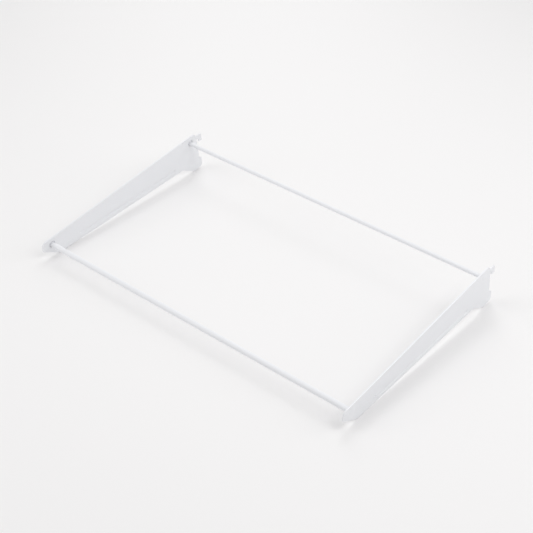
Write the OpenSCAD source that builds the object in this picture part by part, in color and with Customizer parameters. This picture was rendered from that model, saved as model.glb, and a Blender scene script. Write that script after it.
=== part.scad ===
// Cantilever shelf frame for a refrigerator: two stamped brackets joined by a front and a rear rod.
// It is drawn as it hangs in the cabinet, top edges level, and then set down on its four feet.

/* [Frame] */
// Width over the outer faces of the two brackets
frame_w = 547; // [300:1:800]
// Thickness of the bracket sheet
sheet_t = 2; // [1.6:0.1:2.5]

/* [Bracket blade] */
// Length of the bracket from the front of its nose to its rear edge
bracket_len = 330; // [260:1:450]
// Height of the upright front edge of the nose
nose_h = 14; // [12:0.5:18]
// Radius of the top corner of the nose
nose_r = 8; // [4:0.5:10]
// Distance from the front of the nose back to the front foot
foot_back = 27.3; // [22:0.1:34]
// Depth of the blade at the front foot
foot_depth = 33.2; // [30:0.1:37]
// Distance from the rear edge forward to where the lower edge turns down to the toe
heel_ahead = 38.5; // [34:0.5:44]
// Depth of the blade where the lower edge turns down
heel_depth = 50.4; // [45:0.1:55]
// Radius of the inner corner at that turn
heel_r = 12; // [4:1:16]
// Distance from the rear edge forward to the toe, the lowest corner at the rear
toe_ahead = 14; // [12:0.5:18]
// Depth of the blade at the toe
toe_depth = 67.4; // [62:0.1:76]
// Radius of the two corners that the frame stands on
foot_r = 2; // [1:0.5:3]

/* [Rear lug] */
// How far the lug stands out behind the rear edge
lug_out = 5.4; // [3:0.2:8]
// Depth of the upper end of the lug
lug_top_depth = 46; // [40:0.5:48]
// Height of the slope that leads from the rear edge out to the lug
lug_slope_h = 5; // [2:0.5:8]
// Depth of the lower end of the lug
lug_low_depth = 65.6; // [60:0.1:66]
// Radius of the lower corner of the lug
lug_r = 5; // [2:0.5:6]

/* [Hook] */
// Distance from the rear edge forward to where the top edge ends
peak_ahead = 5; // [4:0.5:8]
// Depth of the top of the hook below the top edge
hook_top_depth = 6.3; // [5:0.1:9]
// Height of the hook from its top down to the tip of its lip
hook_h = 13.1; // [10:0.1:16]
// How far the hook stands out behind the rear edge
hook_out = 11; // [9:0.1:15]
// Width of the throat between the rear edge and the lip
throat_w = 4; // [3:0.1:5]
// Thickness of the hook above the throat
hook_neck = 6.3; // [5:0.1:7]
// Radius of the rear top corner of the hook
hook_r = 3.5; // [1:0.5:4]

/* [Stiffening bead] */
// Width of the bead
bead_w = 8; // [6:0.5:10]
// Height of the bead
bead_h = 1.2; // [0.6:0.1:1.4]
// Distance from the lower edge up to the middle of the bead
bead_up = 8.3; // [7:0.1:12]
// Distance from the front of the nose back to the front end of the bead
bead_back = 69; // [68:1:90]
// Distance from the rear edge forward to the rear end of the bead
bead_ahead = 54; // [48:1:70]

/* [Hanging hole] */
// Diameter of the hole at the front of the right bracket
hang_hole_d = 3; // [2:0.1:4]
// Distance from the front of the nose back to the hole
hang_hole_back = 66; // [50:0.5:66]
// Distance from the lower edge up to the hole
hang_hole_up = 10.2; // [6:0.1:12]

/* [Rods] */
// Diameter of the front rod
front_rod_d = 8; // [6:0.05:9.5]
// Diameter of the rear rod
rear_rod_d = 6.35; // [5:0.05:9.5]
// Diameter of the four holes that the rods end in
rod_hole_d = 10.5; // [10:0.1:12]
// Depth of the middle of the rod holes below the top edge
rod_hole_depth = 10.5; // [9:0.1:12]
// Distance from the front of the nose back to the front rod hole
front_rod_back = 17.6; // [15:0.1:20]
// Distance from the rear edge forward to the rear rod hole
rear_rod_ahead = 14.6; // [13:0.1:24]
// Gap left under each rod where it lies in its holes
rod_clearance = 0.15; // [0.05:0.05:0.5]
// Thickness of the weld that closes each rod hole at the outer face
weld_t = 0.6; // [0.4:0.1:1]
// Height of the weld above the outer face
weld_rise = 0.4; // [0.2:0.1:0.8]

/* [Hidden] */
$fn = 64;
coat = [0.94, 0.95, 0.96];
arc_steps = 8;
small_r = 1;
throat_flat = 0.02;

// Every point below is [distance back from the nose, height], with the top edge at height 0.
hook_low = -hook_top_depth - hook_h;
throat_top = -hook_top_depth - hook_neck;
throat_r = (throat_w - throat_flat) / 2;
lower_slope = atan2(foot_depth - heel_depth, bracket_len - heel_ahead - foot_back);

// Corners of the bracket in order, each with its radius
nose_top = [0, 0];
nose_low = [0, -nose_h];
foot = [foot_back, -foot_depth];
heel = [bracket_len - heel_ahead, -heel_depth];
toe = [bracket_len - toe_ahead, -toe_depth];
lug_low = [bracket_len + lug_out, -lug_low_depth];
lug_high = [bracket_len + lug_out, -lug_top_depth - lug_slope_h];
lug_root = [bracket_len, -lug_top_depth];
peak = [bracket_len - peak_ahead, 0];

corners = [
    [nose_top, nose_r],
    [nose_low, small_r],
    [foot, foot_r],
    [heel, heel_r],
    [toe, foot_r],
    [lug_low, lug_r],
    [lug_high, small_r],
    [lug_root, small_r],
    [[bracket_len, throat_top], throat_r],
    [[bracket_len + throat_w, throat_top], throat_r],
    [[bracket_len + throat_w, hook_low], small_r],
    [[bracket_len + hook_out, hook_low], 2 * small_r],
    [[bracket_len + hook_out, -hook_top_depth], hook_r],
    [[bracket_len, -hook_top_depth], 2 * small_r],
    [peak, small_r]
];

function unit(v) = v / norm(v);

// Centre of the arc that rounds the corner at b, between its neighbours a and c
function arc_centre(a, b, c, r) =
    let (u = unit(a - b), w = unit(c - b), half = acos(u * w) / 2)
    b + unit(u + w) * r / sin(half);

// The arc itself, as points from the side of a to the side of c
function arc_points(a, b, c, r) =
    let (
        m = arc_centre(a, b, c, r),
        u = unit(a - b),
        w = unit(c - b),
        p = b + u * ((m - b) * u) - m,
        q = b + w * ((m - b) * w) - m,
        first = atan2(p.y, p.x),
        turn = atan2(p.x * q.y - p.y * q.x, p * q)
    )
    [for (i = [0:arc_steps]) m + r * [cos(first + turn * i / arc_steps), sin(first + turn * i / arc_steps)]];

function corner(i) = corners[(i + len(corners)) % len(corners)];

bracket_outline = [
    for (i = [0:len(corners) - 1])
        each arc_points(corner(i - 1)[0], corner(i)[0], corner(i + 1)[0], corner(i)[1])
];

// The frame stands on the foot and toe arcs, which share one radius, so it tilts by the slope between them.
foot_centre = arc_centre(nose_low, foot, heel, foot_r);
toe_centre = arc_centre(heel, toe, lug_low, foot_r);
rest_tilt = atan2(foot_centre.y - toe_centre.y, toe_centre.x - foot_centre.x);
tilted = [
    for (p = bracket_outline)
        [p.x * cos(rest_tilt) - p.y * sin(rest_tilt), p.x * sin(rest_tilt) + p.y * cos(rest_tilt)]
];
rest_back = (min([for (p = tilted) p.x]) + max([for (p = tilted) p.x])) / 2;
rest_low = min([for (p = tilted) p.y]);

// Places of the holes and the bead
front_hole = [front_rod_back, -rod_hole_depth];
rear_hole = [bracket_len - rear_rod_ahead, -rod_hole_depth];
function above_lower_edge(back, up) =
    [back, -foot_depth + (back - foot_back) * tan(lower_slope) + up / cos(lower_slope)];
hang_hole = above_lower_edge(hang_hole_back, hang_hole_up);
bead_start = above_lower_edge(bead_back + bead_w / 2, bead_up);
bead_end = above_lower_edge(bracket_len - bead_ahead - bead_w / 2, bead_up);
bead_outer_r = (bead_w * bead_w / 4 + bead_h * bead_h) / (2 * bead_h);
bead_inner_r = bead_outer_r - sheet_t;
bead_centre_x = sheet_t + bead_h - bead_outer_r;

// Sets the level frame down on the floor, centred on the origin
module set_down() {
    translate([0, -rest_back, -rest_low]) rotate([rest_tilt, 0, 0]) children();
}

// Turns an outline in back and up into a sheet that starts at x = 0
module sheet(t) {
    rotate([90, 0, 90]) linear_extrude(t) children();
}

module blank(has_hang_hole) {
    difference() {
        polygon(bracket_outline);
        translate(front_hole) circle(d = rod_hole_d);
        translate(rear_hole) circle(d = rod_hole_d);
        if (has_hang_hole) translate(hang_hole) circle(d = hang_hole_d, $fn = 32);
    }
}

// Round-ended bar along the bead, whose far side shapes one face of the pressed sheet
module bead_bar(r) {
    bead_run = norm(bead_end - bead_start);
    translate([bead_centre_x, bead_start.x, bead_start.y]) rotate([lower_slope - 90, 0, 0])
        rotate([0, 0, 180]) {
            cylinder(r = r, h = bead_run);
            for (end = [0, bead_run]) translate([0, 0, end]) sphere(r);
        }
}

// Sheet with the bead pressed up from it, one thickness all over
module pressed_bracket(has_hang_hole) {
    difference() {
        union() {
            sheet(sheet_t) blank(has_hang_hole);
            intersection() {
                bead_bar(bead_outer_r);
                translate([sheet_t / 2, 0, -toe_depth]) cube([sheet_t + bead_h, bracket_len, toe_depth]);
            }
        }
        bead_bar(bead_inner_r);
    }
}

// Both brackets are the same stamping, with the bead pressed towards the left.
module bracket(inner_x, has_hang_hole) {
    set_down() translate([inner_x, 0, 0]) mirror([1, 0, 0]) pressed_bracket(has_hang_hole);
}

// Weld that fills a rod hole at the outer face and stands a little proud of it
module weld() {
    hole_r = rod_hole_d / 2;
    dome = [for (a = [0:15:90]) [hole_r * cos(a), weld_rise * sin(a)]];
    rotate_extrude() polygon([[0, -weld_t], [hole_r, -weld_t], each dome]);
}

// Rod that lies in the bottom of its holes and ends at the outer faces
module rod(d, hole) {
    drop = (rod_hole_d - d) / 2 - rod_clearance;
    set_down() {
        translate([-frame_w / 2, hole.x, hole.y - drop]) rotate([0, 90, 0]) cylinder(d = d, h = frame_w);
        for (side = [-1, 1])
            translate([side * frame_w / 2, hole.x, hole.y]) rotate([0, side * 90, 0]) weld();
    }
}

module left_bracket() {
    color(coat) bracket(sheet_t - frame_w / 2, false);
}

module right_bracket() {
    color(coat) bracket(frame_w / 2, true);
}

module front_rod() {
    color(coat) rod(front_rod_d, front_hole);
}

module rear_rod() {
    color(coat) rod(rear_rod_d, rear_hole);
}

left_bracket();
right_bracket();
front_rod();
rear_rod();
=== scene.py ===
import math

import bpy
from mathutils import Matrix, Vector

mm = 0.001

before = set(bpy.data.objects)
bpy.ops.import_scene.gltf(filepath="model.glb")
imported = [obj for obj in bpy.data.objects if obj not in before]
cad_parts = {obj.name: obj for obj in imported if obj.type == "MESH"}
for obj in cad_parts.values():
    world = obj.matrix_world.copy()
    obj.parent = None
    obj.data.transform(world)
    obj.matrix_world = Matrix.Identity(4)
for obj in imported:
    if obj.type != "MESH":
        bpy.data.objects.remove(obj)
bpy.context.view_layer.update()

print("frame loaded")


# Small helpers for working as by hand

def clearSelection():
    if bpy.context.object and bpy.context.object.mode != "OBJECT":
        bpy.ops.object.mode_set(mode="OBJECT")
    bpy.ops.object.select_all(action="DESELECT")


# Colours are written as seen, in sRGB hex, and shaders want them linear

def colour(hexValue):
    channels = [int(hexValue[i:i + 2], 16) / 255 for i in (1, 3, 5)]
    return [c / 12.92 if c <= 0.04045 else ((c + 0.055) / 1.055) ** 2.4 for c in channels] + [1]


def addNode(tree, kind, place, settings=None, links=None):
    node = tree.nodes.new(kind)
    node.location = place
    for name, value in (settings or {}).items():
        if isinstance(name, int) or name in node.inputs:
            node.inputs[name].default_value = value
        else:
            setattr(node, name, value)
    for name, source in (links or {}).items():
        tree.links.new(source, node.inputs[name])
    return node


def newMaterial(name):
    material = bpy.data.materials.new(name)
    material.use_nodes = True
    material.node_tree.nodes.clear()
    return material, material.node_tree


coat = {
    "colour": "#EEEFF2",
    "roughness": 0.34,
    "peelSize": 2.4,         # millimetres across one dimple of the orange peel
    "waveSize": 14,          # millimetres across the slow waves that the press leaves in the sheet
}


# White epoxy polyester powder coat, sprayed and baked: an even white with a soft gloss. Its orange
# peel is drawn a little coarser than the real one, so that it shows at this distance.
def powderCoat():
    material, tree = newMaterial("white powder coat")
    where = addNode(tree, "ShaderNodeTexCoord", (-1100, 0)).outputs["Object"]
    peel = addNode(tree, "ShaderNodeTexNoise", (-850, -250), {
        "Scale": 1 / (coat["peelSize"] * mm), "Detail": 2.0, "Roughness": 0.5,
    }, {"Vector": where})
    wave = addNode(tree, "ShaderNodeTexNoise", (-850, -500), {
        "Scale": 1 / (coat["waveSize"] * mm), "Detail": 1.0,
    }, {"Vector": where})
    relief = addNode(tree, "ShaderNodeMath", (-600, -350), {"operation": "MULTIPLY_ADD", 1: 0.35}, {
        0: peel.outputs["Fac"], 2: wave.outputs["Fac"],
    })
    bump = addNode(tree, "ShaderNodeBump", (-350, -350), {"Strength": 0.25, "Distance": 0.04 * mm}, {
        "Height": relief.outputs["Value"],
    })
    gloss = addNode(tree, "ShaderNodeMapRange", (-350, -100), {
        "To Min": coat["roughness"] - 0.05, "To Max": coat["roughness"] + 0.05,
    }, {"Value": wave.outputs["Fac"]})
    shader = addNode(tree, "ShaderNodeBsdfPrincipled", (0, 0), {
        "Base Color": colour(coat["colour"]),
    }, {"Roughness": gloss.outputs["Result"], "Normal": bump.outputs["Normal"]})
    addNode(tree, "ShaderNodeOutputMaterial", (300, 0), links={"Surface": shader.outputs["BSDF"]})
    return material


whiteCoat = powderCoat()
print("materials made")

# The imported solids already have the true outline, bead, rods and welds, so they stay and take the coat
for node in ("left_bracket", "right_bracket", "front_rod", "rear_rod"):
    piece = bpy.data.objects[node]
    piece.data.materials.clear()
    piece.data.materials.append(whiteCoat)
print("coat applied")


# Floor, light and camera

floorSize = {"side": 12, "nearGrey": "#F3F2F2"}


def paleFloor():
    material, tree = newMaterial("pale studio floor")
    shader = addNode(tree, "ShaderNodeBsdfPrincipled", (0, 0), {
        "Base Color": colour(floorSize["nearGrey"]),
        "Roughness": 0.6,
    })
    addNode(tree, "ShaderNodeOutputMaterial", (300, 0), links={"Surface": shader.outputs["BSDF"]})
    return material


clearSelection()
bpy.ops.mesh.primitive_plane_add(size=floorSize["side"], location=(0, 0, 0))
floor = bpy.context.object
floor.name = "floor"
floor.data.materials.append(paleFloor())

lamps = {
    "highRight": {"place": (1.03, 0, 1.50), "aim": (0, 0, 0.03), "size": 0.9, "power": 6.6},
    "highBack": {"place": (-0.52, 0.89, 1.50), "aim": (0, 0, 0.03), "size": 0.9, "power": 5.9},
    "highLeft": {"place": (-0.52, -0.89, 1.50), "aim": (0, 0, 0.03), "size": 0.9, "power": 4.4},
    "lowRight": {"place": (1.30, 0.98, 0.79), "aim": (0, 0, 0.03), "size": 1.0, "power": 5},
    "lowBack": {"place": (-1.15, 1.15, 0.79), "aim": (0, 0, 0.03), "size": 1.0, "power": 2.9},
    "lowLeft": {"place": (-1.15, -1.15, 0.79), "aim": (0, 0, 0.03), "size": 1.0, "power": 3.8},
}


def addLamp(name, lamp):
    clearSelection()
    bpy.ops.object.light_add(type="AREA", location=lamp["place"])
    light = bpy.context.object
    light.name = name
    light.data.shape = "SQUARE"
    light.data.size = lamp["size"]
    light.data.energy = lamp["power"]
    towards = Vector(lamp["aim"]) - Vector(lamp["place"])
    light.rotation_euler = towards.to_track_quat("-Z", "Y").to_euler()


for name, lamp in lamps.items():
    addLamp(name, lamp)

sky = {"strength": 0.485}
world = bpy.data.worlds.new("white studio")
bpy.context.scene.world = world
world.use_nodes = True
world.node_tree.nodes.clear()
light = addNode(world.node_tree, "ShaderNodeBackground", (0, 100), {
    "Color": colour("#FFFFFF"), "Strength": sky["strength"],
})
white = addNode(world.node_tree, "ShaderNodeBackground", (0, -100), {
    "Color": colour("#FFFFFF"), "Strength": 1.0,
})
ray = addNode(world.node_tree, "ShaderNodeLightPath", (-300, 300))
mix = addNode(world.node_tree, "ShaderNodeMixShader", (300, 0), links={"Fac": ray.outputs["Is Camera Ray"]})
world.node_tree.links.new(light.outputs["Background"], mix.inputs[1])
world.node_tree.links.new(white.outputs["Background"], mix.inputs[2])
addNode(world.node_tree, "ShaderNodeOutputWorld", (500, 0), links={"Surface": mix.outputs["Shader"]})

view = {
    "place": (0.9020, -1.0593, 1.0631),   # metres
    "turn": 40.17,                        # degrees, from looking along +Y towards -X
    "down": 36.74,
    "focalPixels": 1227.5,                # on the 533 pixel wide photograph
    "photoSide": 533,
    "sensor": 36,
}
clearSelection()
bpy.ops.object.camera_add(location=view["place"])
camera = bpy.context.object
camera.name = "camera"
camera.rotation_euler = (math.radians(90 - view["down"]), 0, math.radians(view["turn"]))
camera.data.sensor_width = view["sensor"]
camera.data.lens = view["focalPixels"] * view["sensor"] / view["photoSide"]
camera.data.clip_start = 0.01
camera.data.clip_end = 60
bpy.context.scene.camera = camera

bpy.context.scene.view_settings.view_transform = "Standard"
